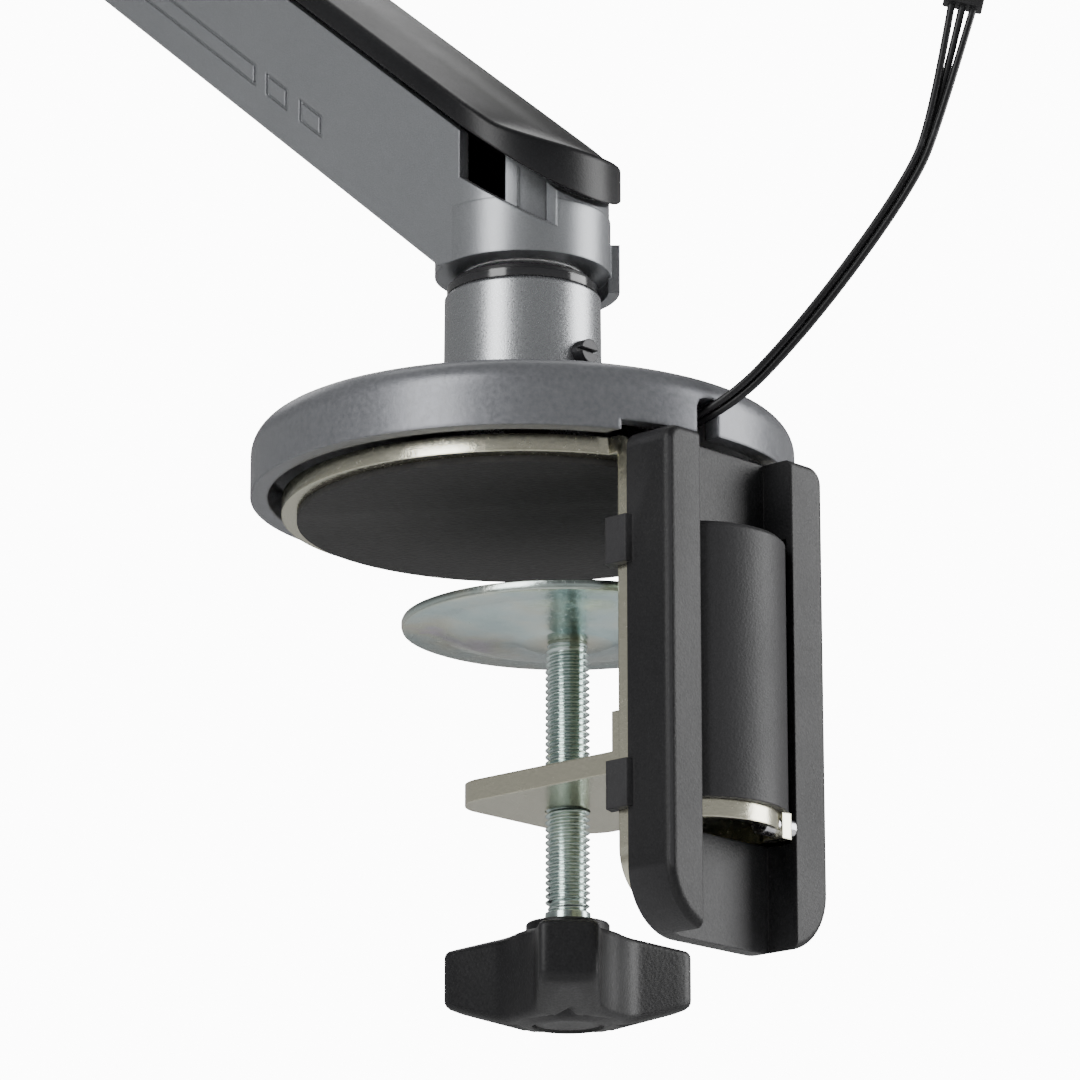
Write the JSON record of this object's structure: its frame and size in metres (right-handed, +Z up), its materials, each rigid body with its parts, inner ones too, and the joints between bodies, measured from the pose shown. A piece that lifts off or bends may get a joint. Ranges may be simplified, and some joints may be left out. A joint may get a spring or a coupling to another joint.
{
  "type": "monitor arm",
  "caption": "Desk-clamped monitor arm with a round base cover, a post, a tilted lower arm, a gas-spring upper arm, a screen plate, a cable housing and loose wires.",
  "frame": {"origin": "on the post axis, at the desk-top face (underside of the desk pad)", "axes": "+Z up, +Y over the desk towards the user, -Y behind the desk edge, +X along the desk edge"},
  "size_m": [0.412, 0.3579, 0.4513],
  "materials": {
    "zinc": "satin",
    "casting": "satin",
    "cover_grey": "matte",
    "black_shell": "matte",
    "gloss_black": "gloss",
    "black_steel": "satin",
    "steel": "satin",
    "foam": "matte",
    "bearing": "matte",
    "wire_skin": "satin"
  },
  "bodies": {
    "base": {"desk_pad": "foam", "clamp_bracket": "zinc", "bracket_tongue": "zinc", "tongue_screws": "black_steel", "base_cover": "cover_grey", "post": "casting", "post_bolts": "black_steel", "post_setscrew": "black_steel", "post_bushing": "gloss_black", "thrust_ring": "black_shell", "hub_washer": "steel", "hub_screw": "black_steel", "cable_housing": "black_shell", "barrel": "gloss_black", "barrel_band": "zinc", "band_screw": "steel", "wire_left": "wire_skin", "wire_right": "wire_skin", "wire_rear": "wire_skin", "wire_connector": "black_shell", "wire_saddle": "black_shell"},
    "pressure_plate": {"pressure_plate": "zinc"},
    "clamp_screw": {"clamp_screw": "zinc", "screw_rivet": "steel", "knob": "black_shell", "knob_cap": "gloss_black"},
    "lower_arm": {"lower_arm": "casting", "hub_liner": "bearing", "elbow_liner": "bearing", "lower_arm_cover": "black_shell"},
    "elbow_fork": {"elbow_fork": "casting", "elbow_washer": "steel", "elbow_screw": "black_steel", "lift_pin_upper": "steel", "lift_pin_lower": "steel", "spring_seat": "steel", "tension_screw": "black_steel"},
    "spring_arm": {"spring_arm": "casting", "spring_arm_cover": "black_shell", "gas_cylinder": "gloss_black"},
    "gas_rod": {"gas_rod": "steel"},
    "link_bar": {"link_bar": "casting"},
    "head_bracket": {"head_bracket": "casting", "head_pin_upper": "steel", "head_pin_lower": "steel", "head_liner": "bearing"},
    "head_knuckle": {"head_knuckle": "casting", "head_circlip": "steel", "tilt_bolt": "black_steel", "tilt_nut": "steel"},
    "tilt_head": {"tilt_head": "casting", "roll_retainer": "steel"},
    "screen_plate": {"screen_plate": "black_steel"}
  },
  "joints": [
    {"name": "base_swivel", "type": "hinge", "parent": "base", "child": "lower_arm", "pos_m": [0, 0, 0.059], "axis": [0, 0, 1], "range_deg": [-60, 60]},
    {"name": "elbow_swivel", "type": "hinge", "parent": "lower_arm", "child": "elbow_fork", "pos_m": [0, 0.187, 0.246], "axis": [0, 0, 1], "range_deg": [-150, 45]},
    {"name": "arm_lift", "type": "hinge", "parent": "elbow_fork", "child": "spring_arm", "pos_m": [-0.026, 0.187, 0.286], "axis": [0, 1, 0], "range_deg": [-30, 30]},
    {"name": "link_turn", "type": "hinge", "parent": "elbow_fork", "child": "link_bar", "pos_m": [-0.026, 0.187, 0.264], "axis": [0, 1, 0], "range_deg": [-30, 30]},
    {"name": "head_level", "type": "hinge", "parent": "spring_arm", "child": "head_bracket", "pos_m": [-0.256, 0.187, 0.286], "axis": [0, 1, 0], "range_deg": [-30, 30]},
    {"name": "gas_stroke", "type": "slide", "parent": "spring_arm", "child": "gas_rod", "axis": [1, 0, 0], "range_m": [-0.00576, 0.00576]},
    {"name": "head_swivel", "type": "hinge", "parent": "head_bracket", "child": "head_knuckle", "pos_m": [-0.29, 0.187, 0.286], "axis": [0, 0, 1], "range_deg": [-15, 90]},
    {"name": "screen_tilt", "type": "hinge", "parent": "head_knuckle", "child": "tilt_head", "pos_m": [-0.29, 0.219, 0.274], "axis": [1, 0, 0], "range_deg": [-15, 15]},
    {"name": "screen_roll", "type": "hinge", "parent": "tilt_head", "child": "screen_plate", "pos_m": [-0.29, 0.237, 0.274], "axis": [0, 1, 0], "range_deg": [-90, 90]},
    {"name": "knob_spin", "type": "hinge", "parent": "pressure_plate", "child": "clamp_screw", "pos_m": [0, -0.0138, -0.0305], "axis": [0, 0, 1], "range_deg": [-6490, 5410]},
    {"name": "clamp_travel", "type": "slide", "parent": "base", "child": "pressure_plate", "axis": [0, 0, 1], "range_m": [-0.027, 0.0225]}
  ],
  "couplings": [
    {"joint": "link_turn", "follows": "arm_lift", "ratio": 1},
    {"joint": "head_level", "follows": "arm_lift", "ratio": -1},
    {"joint": "gas_stroke", "follows": "arm_lift", "m_per_rad": 0.011},
    {"joint": "knob_spin", "follows": "clamp_travel", "rad_per_m": 4188.8}
  ]
}
